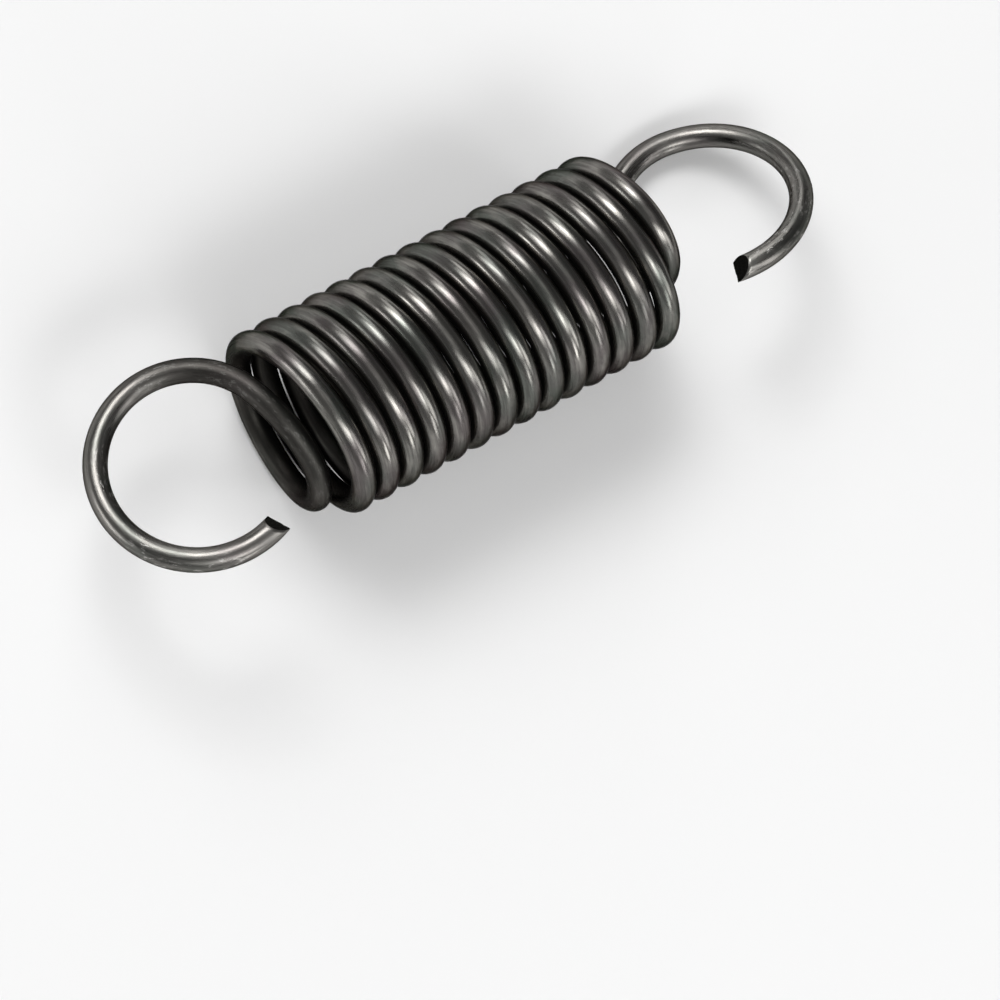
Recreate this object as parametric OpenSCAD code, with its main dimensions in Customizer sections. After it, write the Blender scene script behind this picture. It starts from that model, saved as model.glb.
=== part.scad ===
// An extension spring of round steel wire, lying on its side as it comes to rest.
// X runs along the spring and Z is up. The origin is under its middle, on the surface it lies on.
// The wire is a chain of plain bends. Each bend is an arc in one plane, and it starts where the
// bend before it ends, with its plane rolled about the wire.
// A bend is written [radius, angle, roll].

/* [Wire] */
// Diameter of the round wire
wire_d = 2; // [1.4:0.1:2.6]

/* [Coils] */
// Diameter of a coil, from centre to centre of the wire
coil_d = 15; // [12:0.5:20]
// Clear gap between one coil and the next
coil_gap = 0.22; // [0.1:0.01:1]
// Full turns from the top of the first coil to the top of the last
turns = 14; // [6:1:24]
// How far the top of each coil leans back from square
coil_lean = 0.6; // [0.1:0.1:1]

/* [Bends that bring the wire to the middle] */
// Radius of the bend that tucks the last coil inwards, as a share of the coil's radius
tuck_share = 0.62; // [0.5:0.01:0.75]
// Radius of the bend that swings the wire out of the coil, as a share of the coil's radius
swing_share = 0.95; // [0.75:0.01:1.2]
// Roll of the wire as it rises inside the last coil
rise_roll = 17; // [5:1:25]
// Roll at which the wire swings out, at the near end
near_swing_roll = 82; // [70:1:100]
// Roll at which the wire swings out, at the far end
far_swing_roll = 86; // [70:2:100]

/* [Loops] */
// Diameter of each loop, from centre to centre of the wire
loop_d = 16; // [13:0.5:20]
// Sweep of the near loop up to its cut end
near_sweep = 180; // [140:1:215]
// Sweep of the far loop up to its cut end
far_sweep = 184; // [140:1:215]
// Roll of the near loop away from the plane of its swing
near_loop_roll = 6; // [0:1:20]
// Roll of the far loop away from the plane of its swing
far_loop_roll = 14; // [0:1:20]

/* [Rest] */
// Turn about the long axis at which a loop and the coils both touch the surface
rest_turn = 246.2; // [246:0.1:252]

/* [Hidden] */
$fn = 48;

pitch = wire_d + coil_gap;
half_turns = 2 * round(turns);

// Each half turn joins the top and the bottom of a coil. The front ones climb more than the
// back ones, and that difference is the lean.
front_rise = pitch / 2 + 2 * coil_lean;
back_rise = pitch / 2 - 2 * coil_lean;
front_slope = atan(front_rise / coil_d);
back_slope = atan(back_rise / coil_d);
front_r = coil_d / 2 / cos(front_slope);
back_r = coil_d / 2 / cos(back_slope);
coil_roll = front_slope + back_slope;

tuck_r = tuck_share * coil_d / 2;
rise_r = coil_d / 2;
swing_r = swing_share * coil_d / 2;

// From the near loop to the far one, every bend is a quarter or a half turn, and the two bends
// that end in a cut are of any sweep.
function loop_to_coil(quarter_r, quarter_roll, swing_roll, loop_roll) = [
  [loop_d / 2, 90, 0],
  [swing_r, 90, -loop_roll],
  [rise_r, 90, swing_roll],
  [tuck_r, 90, rise_roll],
  [quarter_r, 90, quarter_roll]
];
near_end = loop_to_coil(back_r, 0, near_swing_roll, near_loop_roll);
coils = [for (k = [0:half_turns - 1]) [k % 2 == 0 ? front_r : back_r, 180, coil_roll]];
far_end = [
  [front_r, 90, coil_roll],
  [tuck_r, 90, 0],
  [rise_r, 90, rise_roll],
  [swing_r, 90, far_swing_roll],
  [loop_d / 2, 90, -far_loop_roll],
  [loop_d / 2, far_sweep - 90, 0]
];
bends = concat(near_end, coils, far_end);
near_tip = near_sweep - 90;

// Frames of the wire: the origin is on its centre line, X points to the centre of the bend
// and Y runs on along the wire.
function turn_x(a) = [[1, 0, 0, 0], [0, cos(a), -sin(a), 0], [0, sin(a), cos(a), 0], [0, 0, 0, 1]];
function turn_y(a) = [[cos(a), 0, sin(a), 0], [0, 1, 0, 0], [-sin(a), 0, cos(a), 0], [0, 0, 0, 1]];
function shift(v) = [[1, 0, 0, v[0]], [0, 1, 0, v[1]], [0, 0, 1, v[2]], [0, 0, 0, 1]];
function on_arc(r, a) = [
  [cos(a), sin(a), 0, r * (1 - cos(a))],
  [-sin(a), cos(a), 0, r * sin(a)],
  [0, 0, 1, 0],
  [0, 0, 0, 1]
];
function back_over(list, m, i) = i < 0 ? m : back_over(
  list,
  m * on_arc(list[i][0], -list[i][1]) * turn_y(-list[i][2]),
  i - 1
);
function place(m) = [m[0][3], m[1][3], m[2][3]];
function route_from(list, m, i = 0) = i == len(list) ? [] : concat(
  [for (a = [0:5:list[i][1]]) place(m * turn_y(list[i][2]) * on_arc(list[i][0], a))],
  route_from(list, m * turn_y(list[i][2]) * on_arc(list[i][0], list[i][1]), i + 1)
);

// The first coil's top, with the coils' axis along X, and the frame that the chain starts in.
first_top = [-half_turns * pitch / 4, 0, coil_d / 2];
coil_start = turn_x(rest_turn) * shift(first_top) * turn_y(90 - front_slope) * turn_x(180);
start = back_over(near_end, coil_start * turn_y(-coil_roll), len(near_end) - 1);
route = concat(
  [for (a = [0:5:near_tip]) place(start * on_arc(loop_d / 2, -a))],
  route_from(bends, start)
);
low = [for (k = [0:2]) min([for (p = route) p[k]])];
high = [for (k = [0:2]) max([for (p = route) p[k]])];
rest_place = [-(low[0] + high[0]) / 2, -(low[1] + high[1]) / 2, wire_d / 2 - low[2]];

module bend(b) {
  rotate([0, b[2], 0])
    translate([b[0], 0, 0])
      rotate([0, 0, 180 - b[1]])
        rotate_extrude(angle = b[1])
          translate([b[0], 0])
            circle(d = wire_d);
}

module past(b) {
  rotate([0, b[2], 0])
    translate([b[0], 0, 0])
      rotate([0, 0, -b[1]])
        translate([-b[0], 0, 0])
          children();
}

// Moves its children past the first n bends of the list.
module along(list, n, i = 0) {
  if (i < n) {
    past(list[i]) along(list, n, i + 1) children();
  } else {
    children();
  }
}

module near_cut_end() {
  translate([loop_d / 2, 0, 0])
    rotate([0, 0, 180])
      rotate_extrude(angle = near_tip)
        translate([loop_d / 2, 0])
          circle(d = wire_d);
}

module spring() {
  color([0.33, 0.32, 0.32])
    translate(rest_place)
      multmatrix(start) {
        near_cut_end();
        for (i = [0:len(bends) - 1]) {
          along(bends, i) bend(bends[i]);
        }
      }
}

spring();
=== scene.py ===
"""The looks of the extension spring: a finer mesh of its wire, its steel, a pale floor, lamps and camera."""
import math

import bpy
import numpy as np
from mathutils import Euler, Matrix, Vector


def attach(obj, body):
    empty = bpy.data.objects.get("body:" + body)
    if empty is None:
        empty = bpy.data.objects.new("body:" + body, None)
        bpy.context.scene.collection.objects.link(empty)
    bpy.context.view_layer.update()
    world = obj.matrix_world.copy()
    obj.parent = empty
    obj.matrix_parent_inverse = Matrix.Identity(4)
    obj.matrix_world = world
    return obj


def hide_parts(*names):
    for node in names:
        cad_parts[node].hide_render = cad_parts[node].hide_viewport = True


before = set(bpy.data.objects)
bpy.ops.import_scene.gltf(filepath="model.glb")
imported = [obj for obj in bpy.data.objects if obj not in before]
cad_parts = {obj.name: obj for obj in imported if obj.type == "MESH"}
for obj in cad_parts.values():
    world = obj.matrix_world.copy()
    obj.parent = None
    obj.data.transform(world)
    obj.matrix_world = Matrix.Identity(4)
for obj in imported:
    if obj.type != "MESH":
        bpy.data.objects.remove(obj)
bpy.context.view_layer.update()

MM = 0.001

# The wire's driving values, in millimetres and degrees, as in the part's source.
WIRE_D = 2.0
COIL_D = 15.0
COIL_GAP = 0.22
TURNS = 14
COIL_LEAN = 0.6
TUCK_SHARE = 0.62
SWING_SHARE = 0.95
RISE_ROLL = 17
NEAR_SWING_ROLL = 82
FAR_SWING_ROLL = 86
LOOP_D = 16.0
NEAR_SWEEP = 180
FAR_SWEEP = 184
NEAR_LOOP_ROLL = 6
FAR_LOOP_ROLL = 14
REST_TURN = 246.2
REST_STEP = 5  # degrees between the points that find the surface it lies on

# The bends of the wire are numbered from the coils outwards: less than 0 at the near end.
COIL = 0
START = 1
TUCK = 2
RISE = 3
SWING = 4
LOOP = 5

# The wire's mesh, in millimetres.
RING_STEP = 0.45
SIDES = 48
WIRE_R = WIRE_D / 2

# The sheared ends. Each facet is written (reach past the tip, slope outwards, slope upwards), where
# outwards is away from the middle of the loop, and upwards is square to the loop.
NEAR_FACETS = [(0.33, -0.15, 1.0), (0.36, -0.15, -0.35)]
FAR_FACETS = [(0.05, 0.05, 0.77), (0.62, -0.3, -0.5)]
SHEAR_RUN = 1.6  # length of wire over which the rings lean into the cut
CAP_SHARES = [0.97, 0.9, 0.78, 0.62, 0.45, 0.28, 0.12]
CAP_ROUGHNESS = 0.02

# Where the wire is darkened with painted shade, between turns and inside the coils, or bright.
OWN_TURN = 12.0  # along the wire: nearer points are on the same turn
REACH = 0.5  # from the next turn: farther points get no painted shade from it
FACING_GAIN = 1.6
FACING_START = 0.1
SHADE_INSIDE = 0.85
SHADE_TUCK = 0.35
SHADE_FAR_RISE = 0.8
SMOOTH_RINGS = 12
WORKED_FROM = 2.5  # the bend, between TUCK and RISE, from which the loop's bare steel fades in
WORKED_RUN = 1.5
RIM_RUN = 3.0  # length of wire that is bright beside a cut

# The map that the steel is baked through: the skin of the wire in strips side by side.
STRIPS = 12
STRIP_LENGTH = 68.0
STRIP_MARGIN = 0.04
END_MARGIN = 0.01
CAP_PATCHES = [0.83, 0.93]
CAP_PATCH_R = 0.032


# Frames of the wire, as in the part's source: X points to the centre of the bend and Y runs on along it.
def turn_x(a):
    c, s = math.cos(math.radians(a)), math.sin(math.radians(a))
    return np.array([[1, 0, 0, 0], [0, c, -s, 0], [0, s, c, 0], [0, 0, 0, 1.0]])


def turn_y(a):
    c, s = math.cos(math.radians(a)), math.sin(math.radians(a))
    return np.array([[c, 0, s, 0], [0, 1, 0, 0], [-s, 0, c, 0], [0, 0, 0, 1.0]])


def shift(x, y, z):
    m = np.eye(4)
    m[:3, 3] = x, y, z
    return m


def on_arc(r, a):
    c, s = math.cos(math.radians(a)), math.sin(math.radians(a))
    return np.array([[c, s, 0, r * (1 - c)], [-s, c, 0, r * s], [0, 0, 1, 0], [0, 0, 0, 1.0]])


def wire_bends():
    """The bends from the near loop to the far one, each (radius, angle, roll, which), and the frame
    that they start in."""
    pitch = WIRE_D + COIL_GAP
    half_turns = 2 * TURNS
    front_slope = math.degrees(math.atan((pitch / 2 + 2 * COIL_LEAN) / COIL_D))
    back_slope = math.degrees(math.atan((pitch / 2 - 2 * COIL_LEAN) / COIL_D))
    front_r = COIL_D / 2 / math.cos(math.radians(front_slope))
    back_r = COIL_D / 2 / math.cos(math.radians(back_slope))
    coil_roll = front_slope + back_slope
    tuck_r = TUCK_SHARE * COIL_D / 2
    rise_r = COIL_D / 2
    swing_r = SWING_SHARE * COIL_D / 2
    loop_r = LOOP_D / 2

    near_end = [
        (loop_r, 90, 0, -LOOP),
        (swing_r, 90, -NEAR_LOOP_ROLL, -SWING),
        (rise_r, 90, NEAR_SWING_ROLL, -RISE),
        (tuck_r, 90, RISE_ROLL, -TUCK),
        (back_r, 90, 0, -START),
    ]
    coils = [(front_r if k % 2 == 0 else back_r, 180, coil_roll, COIL) for k in range(half_turns)]
    far_end = [
        (front_r, 90, coil_roll, START),
        (tuck_r, 90, 0, TUCK),
        (rise_r, 90, RISE_ROLL, RISE),
        (swing_r, 90, FAR_SWING_ROLL, SWING),
        (loop_r, 90, -FAR_LOOP_ROLL, LOOP),
        (loop_r, FAR_SWEEP - 90, 0, LOOP),
    ]

    start = (
        turn_x(REST_TURN)
        @ shift(-half_turns * pitch / 4, 0, COIL_D / 2)
        @ turn_y(90 - front_slope)
        @ turn_x(180)
        @ turn_y(-coil_roll)
    )
    for r, angle, roll, _ in reversed(near_end):
        start = start @ on_arc(r, -angle) @ turn_y(-roll)
    return near_end + coils + far_end, start


def rest_place(bends, start, near_tip):
    """How far the wire moves to lie on the surface, from the same points as in the source."""
    coarse = [(start @ on_arc(LOOP_D / 2, -a))[:3, 3] for a in range(0, near_tip + 1, REST_STEP)]
    m = start
    for r, angle, roll, _ in bends:
        m = m @ turn_y(roll)
        coarse += [(m @ on_arc(r, a))[:3, 3] for a in range(0, angle + 1, REST_STEP)]
        m = m @ on_arc(r, angle)
    low = np.min(coarse, axis=0)
    high = np.max(coarse, axis=0)
    return np.array([-(low[0] + high[0]) / 2, -(low[1] + high[1]) / 2, WIRE_R - low[2]])


def wire_route():
    """The centre line's points, directions and bends from the near cut end to the far one, in
    millimetres. The last result is the directions outwards and upwards at each tip."""
    bends, start = wire_bends()
    near_tip = NEAR_SWEEP - 90
    rest = rest_place(bends, start, near_tip)
    spots = []
    ways = []
    marks = []

    def add(m, r, angles, mark):
        for a in angles:
            at = m @ on_arc(r, a)
            spots.append(at[:3, 3] + rest)
            ways.append(at[:3, 1])
            marks.append(mark)

    def steps(r, angle):
        return max(2, round(math.radians(angle) * r / RING_STEP))

    loop_r = LOOP_D / 2
    add(start, loop_r, np.linspace(-near_tip, 0, steps(loop_r, near_tip), endpoint=False), -LOOP)
    m = start
    for i, (r, angle, roll, mark) in enumerate(bends):
        m = m @ turn_y(roll)
        last = i == len(bends) - 1
        add(m, r, np.linspace(0, angle, steps(r, angle) + last, endpoint=last), mark)
        m = m @ on_arc(r, angle)

    tips = []
    for tip in (start @ on_arc(loop_r, -near_tip), m):
        upwards = tip[:3, 2] * math.copysign(1, tip[2, 2])
        tips.append((-tip[:3, 0], upwards))
    return np.array(spots), np.array(ways), np.array(marks), tips


def rings_across(ways):
    """Two directions across the wire for each point, carried along it without twist."""
    across = np.zeros_like(ways)
    first = np.cross(ways[0], (0, 0, 1))
    across[0] = first / np.linalg.norm(first)
    for i in range(1, len(ways)):
        a = across[i - 1] - ways[i] * (across[i - 1] @ ways[i])
        across[i] = a / np.linalg.norm(a)
    return across, np.cross(ways, across)


def shelter(rings, spots, way_along):
    """How close each ring vertex is to another turn of the wire, for the painted shade between turns: 1 where
    they touch, 0 from REACH away.
    """
    close = np.zeros(rings.shape[:2])
    for i, ring in enumerate(rings):
        others = spots[np.abs(way_along - way_along[i]) > OWN_TURN]
        gap = np.sqrt(((ring[:, None, :] - others[None, :, :]) ** 2).sum(2).min(1)) - WIRE_R
        close[i] = np.clip(1 - gap / REACH, 0, 1)
    return close


def facing_in(rings, spots, marks):
    """How far each ring vertex faces the middle of the coils, for the painted shade inside them: 1 straight
    in, 0 sideways or out.
    """
    to_middle = spots[marks == COIL].mean(0) - spots
    to_middle[:, 0] = 0
    to_middle /= np.linalg.norm(to_middle, axis=1)[:, None] + 1e-9
    share = ((rings - spots[:, None, :]) * to_middle[:, None, :]).sum(2) / WIRE_R
    return np.clip(share * FACING_GAIN + FACING_START, 0, 1) * (np.abs(marks) <= RISE)[:, None]


def smoothed(values):
    """The values along the wire, blended over SMOOTH_RINGS rings on either side."""
    kernel = np.hanning(2 * SMOOTH_RINGS + 1)
    kernel /= kernel.sum()
    padded = np.pad(values, SMOOTH_RINGS, mode="edge")
    return np.convolve(padded, kernel, mode="valid")


def darkness(rings, spots, marks, way_along):
    """How dark each ring vertex is painted: painted shade between turns, on faces towards the middle of the
    coils, and on the wire rising inside the end coils.
    """
    dark = np.maximum(shelter(rings, spots, way_along), facing_in(rings, spots, marks))
    # The wire that rises through the middle of the end coils gets painted shade all round.
    swing = np.flatnonzero(marks == -SWING)
    rise = np.flatnonzero(marks == RISE)
    inside = (marks == -RISE) * SHADE_INSIDE + (marks == -TUCK) * SHADE_TUCK
    inside[swing[len(swing) // 4]:swing[-1] + 1] = SHADE_INSIDE
    inside[rise[0]:rise[len(rise) // 2]] = SHADE_FAR_RISE
    return np.maximum(dark, smoothed(inside)[:, None])


def cut_reach(offsets, tip, facets):
    """How far past the tip the sheared face reaches at each offset across the wire."""
    outwards, upwards = tip
    sides = offsets @ outwards
    ups = offsets @ upwards
    return np.min([reach - out * sides - up * ups for reach, out, up in facets], 0)


def cap_rings(spot, offsets, outward, tip, facets):
    """The ever smaller rings that close a cut end, and its middle in the last one."""
    cap = []
    for share in CAP_SHARES + [0.0]:
        spread = offsets * share
        ripple = CAP_ROUGHNESS * np.sin(7 * spread @ tip[0] + 3 * share) * np.sin(9 * spread @ tip[1] + 1)
        reach = cut_reach(spread, tip, facets) + ripple
        cap.append(spot + spread + outward * reach[:, None])
    return np.array(cap)


SIDE = np.arange(SIDES)
NEXT_SIDE = (SIDE + 1) % SIDES
TURN = SIDE / SIDES * 2 * math.pi


def band(a, b):
    """The faces between the ring that starts at vertex a and the one that starts at vertex b."""
    return np.stack([a + SIDE, a + NEXT_SIDE, b + NEXT_SIDE, b + SIDE], 1)


def skin_places(way_along):
    """Where the corners of the skin's faces are on the map."""
    strip = np.minimum(way_along[:-1] // STRIP_LENGTH, STRIPS - 1)
    inner = 1 - 2 * END_MARGIN
    u_a = (way_along[:-1] - strip * STRIP_LENGTH) / STRIP_LENGTH * inner + END_MARGIN
    u_b = (way_along[1:] - strip * STRIP_LENGTH) / STRIP_LENGTH * inner + END_MARGIN
    v_a = (strip[:, None] + STRIP_MARGIN + SIDE / SIDES * (1 - 2 * STRIP_MARGIN)) / STRIPS
    v_b = (strip[:, None] + STRIP_MARGIN + (SIDE + 1) / SIDES * (1 - 2 * STRIP_MARGIN)) / STRIPS
    u_a = np.repeat(u_a[:, None], SIDES, 1)
    u_b = np.repeat(u_b[:, None], SIDES, 1)
    return np.stack([u_a, v_a, u_a, v_b, u_b, v_b, u_b, v_a], 2).reshape(-1, 2)


def cap_faces(rim, first, patch, flipped):
    """The faces that close a cut end, from the ring that starts at vertex rim through the cap's own
    vertices, which start at first, and where their corners are on the map."""
    starts = [rim] + [first + k * SIDES for k in range(len(CAP_SHARES))]
    shares = [1.0] + CAP_SHARES
    middle = np.array((patch, (STRIPS - 0.5) / STRIPS))
    wide = np.append(TURN, 2 * math.pi)
    here, after = wide[:-1], wide[1:]

    def spot(share, turned):
        return middle + CAP_PATCH_R * share * np.stack([np.cos(turned), np.sin(turned)], -1)

    parts = []
    for k in range(len(CAP_SHARES)):
        outer, inner = shares[k], shares[k + 1]
        corners = [spot(outer, here), spot(outer, after), spot(inner, after), spot(inner, here)]
        parts.append((band(starts[k], starts[k + 1]), np.stack(corners, 1)))
    centre = first + len(CAP_SHARES) * SIDES
    fan = np.stack([starts[-1] + SIDE, starts[-1] + NEXT_SIDE, np.full(SIDES, centre)], 1)
    corners = [spot(shares[-1], here), spot(shares[-1], after), spot(0, after)]
    parts.append((fan, np.stack(corners, 1)))

    order = slice(None, None, -1 if flipped else 1)
    faces = []
    for corner_numbers, _ in parts:
        faces += corner_numbers[:, order].tolist()
    return faces, [corners[:, order].reshape(-1, 2) for _, corners in parts]


def add_values(mesh, name, values, kind="FLOAT", domain="POINT", field="value"):
    layer = mesh.attributes.new(name, kind, domain)
    layer.data.foreach_set(field, values.astype(np.float32).ravel())


def wire_mesh():
    spots, ways, marks, tips = wire_route()
    across, beside = rings_across(ways)
    count = len(spots)
    way_along = np.concatenate([[0], np.cumsum(np.linalg.norm(np.diff(spots, axis=0), axis=1))])
    ring = np.cos(TURN)[None, :, None] * across[:, None, :] + np.sin(TURN)[None, :, None] * beside[:, None, :]
    offsets = WIRE_R * ring
    rings = spots[:, None, :] + offsets
    dark = darkness(rings, spots, marks, way_along)

    # The last rings lean into the cut.
    caps = []
    from_near = way_along
    from_far = way_along[-1] - way_along
    for from_tip, outward, tip, facets, at in (
        (from_near, -ways, tips[0], NEAR_FACETS, 0),
        (from_far, ways, tips[1], FAR_FACETS, count - 1),
    ):
        for i in np.flatnonzero(from_tip < SHEAR_RUN):
            lean = 1 - from_tip[i] / SHEAR_RUN
            rings[i] += outward[i] * (lean * cut_reach(offsets[at], tip, facets))[:, None]
        caps.append(cap_rings(spots[at], offsets[at], outward[at], tip, facets))

    verts = [rings.reshape(-1, 3)]
    polygons = np.concatenate([band(i * SIDES, (i + 1) * SIDES) for i in range(count - 1)]).tolist()
    map_places = [skin_places(way_along)]
    skin_faces = len(polygons)
    skin = count * SIDES
    first = skin
    for cap, patch, rim, flipped in zip(caps, CAP_PATCHES, (0, skin - SIDES), (True, False)):
        verts += [cap[:-1].reshape(-1, 3), cap[-1][:1]]
        faces, places = cap_faces(rim, first, patch, flipped)
        polygons += faces
        map_places += places
        first += len(CAP_SHARES) * SIDES + 1
    verts = np.concatenate(verts)

    mesh = bpy.data.meshes.new("spring_wire_steel")
    mesh.from_pydata((verts * MM).tolist(), [], polygons)
    mesh.update()
    on_cap = np.arange(len(polygons)) >= skin_faces
    mesh.polygons.foreach_set("use_smooth", ~on_cap)
    bake_map = mesh.uv_layers.new(name="OFBake")
    bake_map.uv.foreach_set("vector", np.concatenate(map_places).astype(np.float32).ravel())

    # The wire as if it were straight, in millimetres: along it, and across it in two directions.
    straight = verts.copy()
    straight[:skin] = np.stack([
        np.repeat(way_along, SIDES),
        np.tile(WIRE_R * np.cos(TURN), count),
        np.tile(WIRE_R * np.sin(TURN), count),
    ], 1)
    # The loops were gripped and bent after the coils were wound, so they are brighter and more marked.
    on_loops = smoothed(np.clip((np.abs(marks) - WORKED_FROM) / WORKED_RUN, 0, 1))
    # How near the cut ends are: 1 at the rim, 0 from RIM_RUN away.
    by_rim = np.clip(1 - np.minimum(from_near, from_far) / RIM_RUN, 0, 1)
    on_skin = {
        # painted shade between turns and inside the coils
        "painted_shade": dark.reshape(-1),
        "worked": np.repeat(on_loops, SIDES),
        "near_cut": np.repeat(by_rim, SIDES),
    }
    for name, values in on_skin.items():
        add_values(mesh, name, np.append(values, np.zeros(len(verts) - skin)))
    add_values(mesh, "straight_mm", straight, kind="FLOAT_VECTOR", field="vector")
    add_values(mesh, "cut_face", on_cap, domain="FACE")
    return mesh


class Nodes:
    """Adds nodes to a material and links them."""

    def __init__(self, name):
        self.material = bpy.data.materials.new(name)
        self.material.use_nodes = True
        self.tree = self.material.node_tree
        self.shader = self.tree.nodes["Principled BSDF"]

    def put(self, socket, value):
        if isinstance(value, bpy.types.NodeSocket):
            self.tree.links.new(value, socket)
        else:
            socket.default_value = value

    def node(self, kind, **inputs):
        n = self.tree.nodes.new(kind)
        for key, value in inputs.items():
            self.put(n.inputs[key], value)
        return n

    def math(self, how, a, b):
        n = self.tree.nodes.new("ShaderNodeMath")
        n.operation = how
        self.put(n.inputs[0], a)
        self.put(n.inputs[1], b)
        return n.outputs[0]

    def spread(self, value, low, high, to_low=0.0, to_high=1.0):
        n = self.tree.nodes.new("ShaderNodeMapRange")
        for i, v in enumerate((value, low, high, to_low, to_high)):
            self.put(n.inputs[i], v)
        return n.outputs[0]

    def blend(self, share, a, b):
        n = self.tree.nodes.new("ShaderNodeMix")
        n.data_type = "RGBA"
        self.put(n.inputs["Factor"], share)
        self.put(n.inputs[6], a)
        self.put(n.inputs[7], b)
        return n.outputs[2]

    def noise(self, place, scale, detail, rough):
        n = self.node("ShaderNodeTexNoise", Vector=place, Scale=scale, Detail=detail, Roughness=rough)
        return n.outputs[0]

    def stretched(self, place, along, around, shift_by=0.0):
        n = self.tree.nodes.new("ShaderNodeVectorMath")
        n.operation = "MULTIPLY_ADD"
        self.put(n.inputs[0], place)
        n.inputs[1].default_value = (along, around, around)
        n.inputs[2].default_value = (shift_by, shift_by, shift_by)
        return n.outputs[0]

    def attribute(self, name, output="Fac"):
        n = self.tree.nodes.new("ShaderNodeAttribute")
        n.attribute_name = name
        n.attribute_type = "GEOMETRY"
        return n.outputs[output]


# The steel's colours.
OXIDE_BROWN = (0.158, 0.144, 0.140, 1)
OXIDE_GREEN = (0.145, 0.154, 0.139, 1)
THIN_OXIDE = (0.290, 0.279, 0.257, 1)
DRAWN_LINE = (0.066, 0.061, 0.059, 1)
BARE_DARK = (0.092, 0.086, 0.081, 1)
BARE_BRIGHT = (0.225, 0.217, 0.203, 1)
SCUFF = (0.42, 0.41, 0.39, 1)
CUT_RIM = (0.26, 0.25, 0.235, 1)
# Painted shade, for the wire between turns and inside the coils.
PAINTED_SHADE_TONE = (0.020, 0.018, 0.016, 1)
TORN_DARK = (0.010, 0.010, 0.009, 1)
TORN_PALE = (0.030, 0.029, 0.026, 1)
EDGE_TINT = (0.2, 0.2, 0.2, 1)
BUMP_HEIGHT = 0.000008


def spring_steel():
    m = Nodes("spring_steel")
    place = m.attribute("straight_mm", "Vector")
    painted_shade = m.attribute("painted_shade")
    worked = m.attribute("worked")
    near_cut = m.attribute("near_cut")
    cut_face = m.attribute("cut_face")

    lines = m.noise(m.stretched(place, 0.05, 1.0), 6.0, 3.0, 0.6)
    fine_lines = m.noise(m.stretched(place, 0.10, 1.0, 31.0), 14.0, 2.0, 0.6)
    grain = m.noise(m.stretched(place, 0.5, 1.0), 8.0, 2.0, 0.6)
    patches = m.noise(m.stretched(place, 0.35, 1.0, 7.0), 0.8, 3.0, 0.55)
    tint = m.noise(m.stretched(place, 0.6, 1.0, 19.0), 0.25, 2.0, 0.5)
    scuffs = m.noise(m.stretched(place, 0.4, 1.0, 53.0), 3.2, 4.0, 0.7)
    scuffed = m.noise(m.stretched(place, 0.25, 0.6, 71.0), 0.6, 1.0, 0.5)

    # Oxide under oil, brownish or greenish, paler where it is thin.
    oxide = m.blend(m.spread(tint, 0.4, 0.6), OXIDE_BROWN, OXIDE_GREEN)
    thin = m.blend(m.spread(patches, 0.45, 0.68), oxide, THIN_OXIDE)
    body = m.blend(m.spread(lines, 0.36, 0.66, 0.0, 0.55), thin, DRAWN_LINE)

    # The loops are barer, with bright drawing lines and scuffs from the tools that bent them.
    line_tone = m.math("ADD", m.math("MULTIPLY", lines, 0.6), m.math("MULTIPLY", fine_lines, 0.4))
    bare = m.blend(m.spread(line_tone, 0.38, 0.62), BARE_DARK, BARE_BRIGHT)
    loops = m.blend(m.spread(patches, 0.35, 0.6), m.blend(0.5, oxide, bare), bare)
    steel = m.blend(m.math("MULTIPLY", worked, 0.8), body, loops)
    rubbed = m.math("MULTIPLY", m.spread(scuffs, 0.56, 0.66), m.spread(scuffed, 0.5, 0.62))
    rubbed = m.math("MULTIPLY", rubbed, m.spread(worked, 0.0, 0.5, 0.12, 1.0))
    steel = m.blend(rubbed, steel, SCUFF)
    steel = m.blend(m.math("MULTIPLY", near_cut, 0.5), steel, CUT_RIM)

    # Painted shade: darker between the turns and inside the coils.
    steel = m.blend(m.math("MULTIPLY", painted_shade, 0.88), steel, PAINTED_SHADE_TONE)
    torn = m.blend(m.spread(grain, 0.3, 0.7), TORN_DARK, TORN_PALE)
    m.put(m.shader.inputs["Base Color"], m.blend(cut_face, steel, torn))
    m.shader.inputs["Metallic"].default_value = 1.0
    m.shader.inputs["Specular Tint"].default_value = EDGE_TINT

    rough = m.math("ADD", m.spread(lines, 0.3, 0.7, 0.20, 0.30), m.spread(patches, 0.35, 0.7, 0.05, -0.04))
    for where, more in ((worked, 0.04), (rubbed, 0.1), (painted_shade, 0.2), (cut_face, 0.4)):
        rough = m.math("ADD", rough, m.math("MULTIPLY", where, more))
    m.put(m.shader.inputs["Roughness"], rough)

    height = m.math("ADD", m.math("MULTIPLY", lines, 0.6), m.math("MULTIPLY", fine_lines, 0.35))
    height = m.math("ADD", height, m.math("MULTIPLY", grain, 0.35))
    height = m.math("SUBTRACT", height, m.math("MULTIPLY", rubbed, 0.8))
    bump = m.node("ShaderNodeBump", Strength=1.0, Distance=BUMP_HEIGHT, Height=height)
    m.put(m.shader.inputs["Normal"], bump.outputs[0])
    return m.material


mesh = wire_mesh()
mesh.materials.append(spring_steel())
wire = bpy.data.objects.new("spring_wire_steel", mesh)
bpy.context.scene.collection.objects.link(wire)

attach(wire, "root")
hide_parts("spring")

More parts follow.
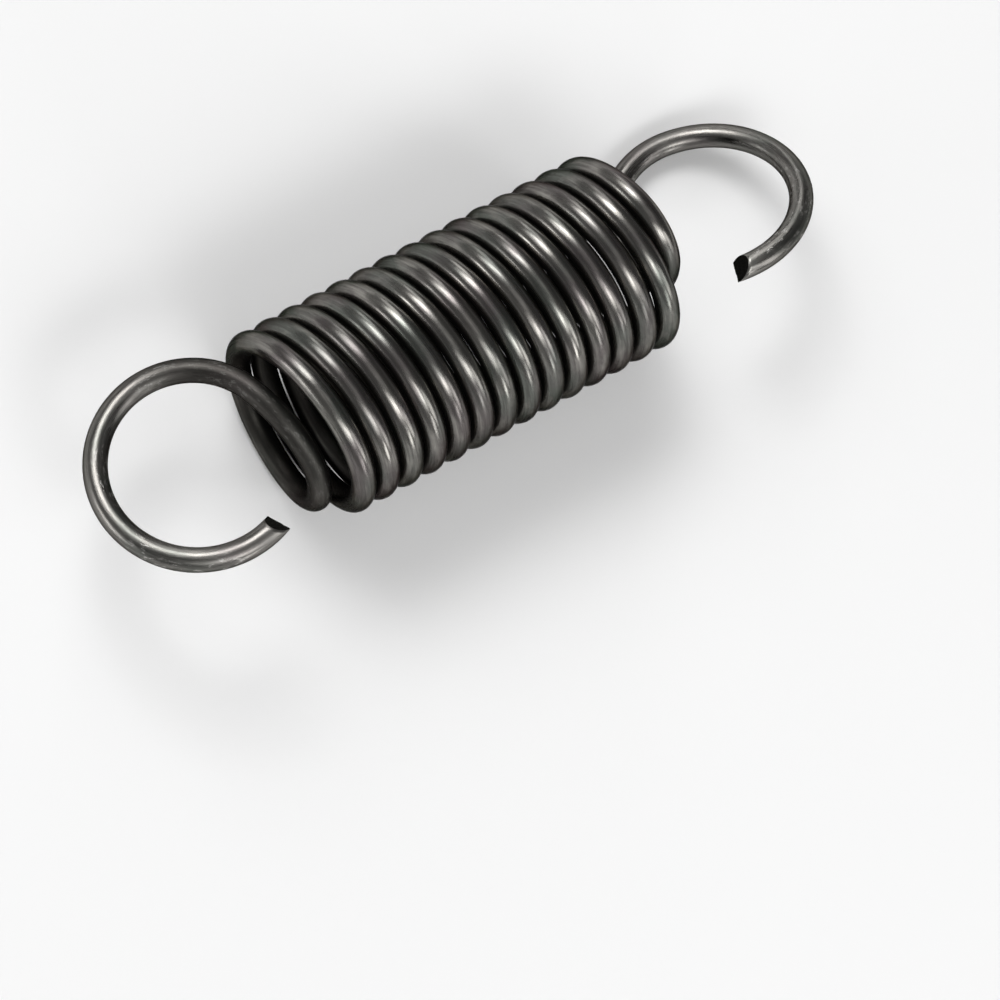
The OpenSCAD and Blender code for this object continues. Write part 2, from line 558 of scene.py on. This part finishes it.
# The floor is lit to near white, which the camera and the steel both see, and it keeps the shadow.
FLOOR_HALF = 3.0
FLOOR_TONE = (0.86, 0.86, 0.86, 1)
floor_mesh = bpy.data.meshes.new("floor")
floor_corners = [(x * FLOOR_HALF, y * FLOOR_HALF, 0) for x, y in ((-1, -1), (1, -1), (1, 1), (-1, 1))]
floor_mesh.from_pydata(floor_corners, [], [(0, 1, 2, 3)])
floor = bpy.data.objects.new("floor", floor_mesh)
bpy.context.scene.collection.objects.link(floor)
paper = Nodes("white_paper")
paper.shader.inputs["Base Color"].default_value = FLOOR_TONE
paper.shader.inputs["Roughness"].default_value = 0.8
paper.shader.inputs["Specular IOR Level"].default_value = 0.0
floor_mesh.materials.append(paper.material)


# Each lamp is written (azimuth, elevation, half its angular width, half its angular height, radiance).
LAMPS = {
    "lamp_back": (94, 48, 25, 18, 2.4),
    "lamp_back_core": (91, 49, 12, 10, 7.5),
    "lamp_back_right": (64, 23, 9, 17, 2.0),
    "lamp_front": (-103, 49, 25, 17, 1.8),
    "lamp_front_core": (-100, 50, 11, 8, 5.6),
    "lamp_low_front": (-87, 13, 8, 12, 4.0),
    "lamp_front_right": (-58, 28, 11, 22, 2.6),
    "lamp_left": (165, 8, 20, 7, 4.8),
}
LAMP_DISTANCE = 0.6

for name, (azimuth, elevation, half_width, half_height, radiance) in LAMPS.items():
    lamp = bpy.data.lights.new(name, "AREA")
    lamp.shape = "ELLIPSE"
    lamp.size = 2 * LAMP_DISTANCE * math.tan(math.radians(half_width))
    lamp.size_y = 2 * LAMP_DISTANCE * math.tan(math.radians(half_height))
    lamp.energy = radiance * math.pi * math.pi / 4 * lamp.size * lamp.size_y
    holder = bpy.data.objects.new(name, lamp)
    az = math.radians(azimuth)
    el = math.radians(elevation)
    way = Vector((math.cos(az) * math.cos(el), math.sin(az) * math.cos(el), math.sin(el)))
    holder.location = LAMP_DISTANCE * way
    holder.rotation_euler = (-holder.location).to_track_quat("-Z", "Y").to_euler()
    holder.visible_camera = False
    bpy.context.scene.collection.objects.link(holder)

# The room is dim, a little darker to the right and brighter overhead. Each of its parts is written
# (from, to, strength at from, strength at to), where from and to are measured along Z or X.
WALLS = (0.0, 0.6, 0.32, 0.15)
RIGHTWARDS = (-0.6, 0.8, 1.3, 0.6)
OVERHEAD = (0.9, 0.98, 0.0, 0.4)
world = bpy.data.worlds.new("studio")
bpy.context.scene.world = world
world.use_nodes = True
tree = world.node_tree
where = tree.nodes.new("ShaderNodeTexCoord")
parts = tree.nodes.new("ShaderNodeSeparateXYZ")
tree.links.new(where.outputs["Generated"], parts.inputs[0])


def ramp(axis, part):
    n = tree.nodes.new("ShaderNodeMapRange")
    tree.links.new(parts.outputs[axis], n.inputs[0])
    for i, v in enumerate(part):
        n.inputs[i + 1].default_value = v
    return n.outputs[0]


def combine(how, a, b):
    n = tree.nodes.new("ShaderNodeMath")
    n.operation = how
    tree.links.new(a, n.inputs[0])
    tree.links.new(b, n.inputs[1])
    return n.outputs[0]


around = combine("MULTIPLY", ramp("Z", WALLS), ramp("X", RIGHTWARDS))
strength = combine("ADD", around, ramp("Z", OVERHEAD))
tree.links.new(strength, tree.nodes["Background"].inputs["Strength"])
tree.nodes["Background"].inputs["Color"].default_value = (1, 1, 1, 1)

# The camera stands where the photograph was taken from.
CAMERA_PLACE = (-0.13257, -0.021782, 0.412215)
CAMERA_TURN = (9.780611, -14.87545752, -30.18087967)
cam_data = bpy.data.cameras.new("camera")
cam_data.sensor_width = 36
cam_data.lens = 191.67
cam_data.clip_start = 0.02
camera = bpy.data.objects.new("camera", cam_data)
camera.location = CAMERA_PLACE
camera.rotation_euler = Euler([math.radians(a) for a in CAMERA_TURN], "XYZ")
bpy.context.scene.collection.objects.link(camera)
bpy.context.scene.camera = camera
bpy.context.scene.view_settings.view_transform = "Standard"
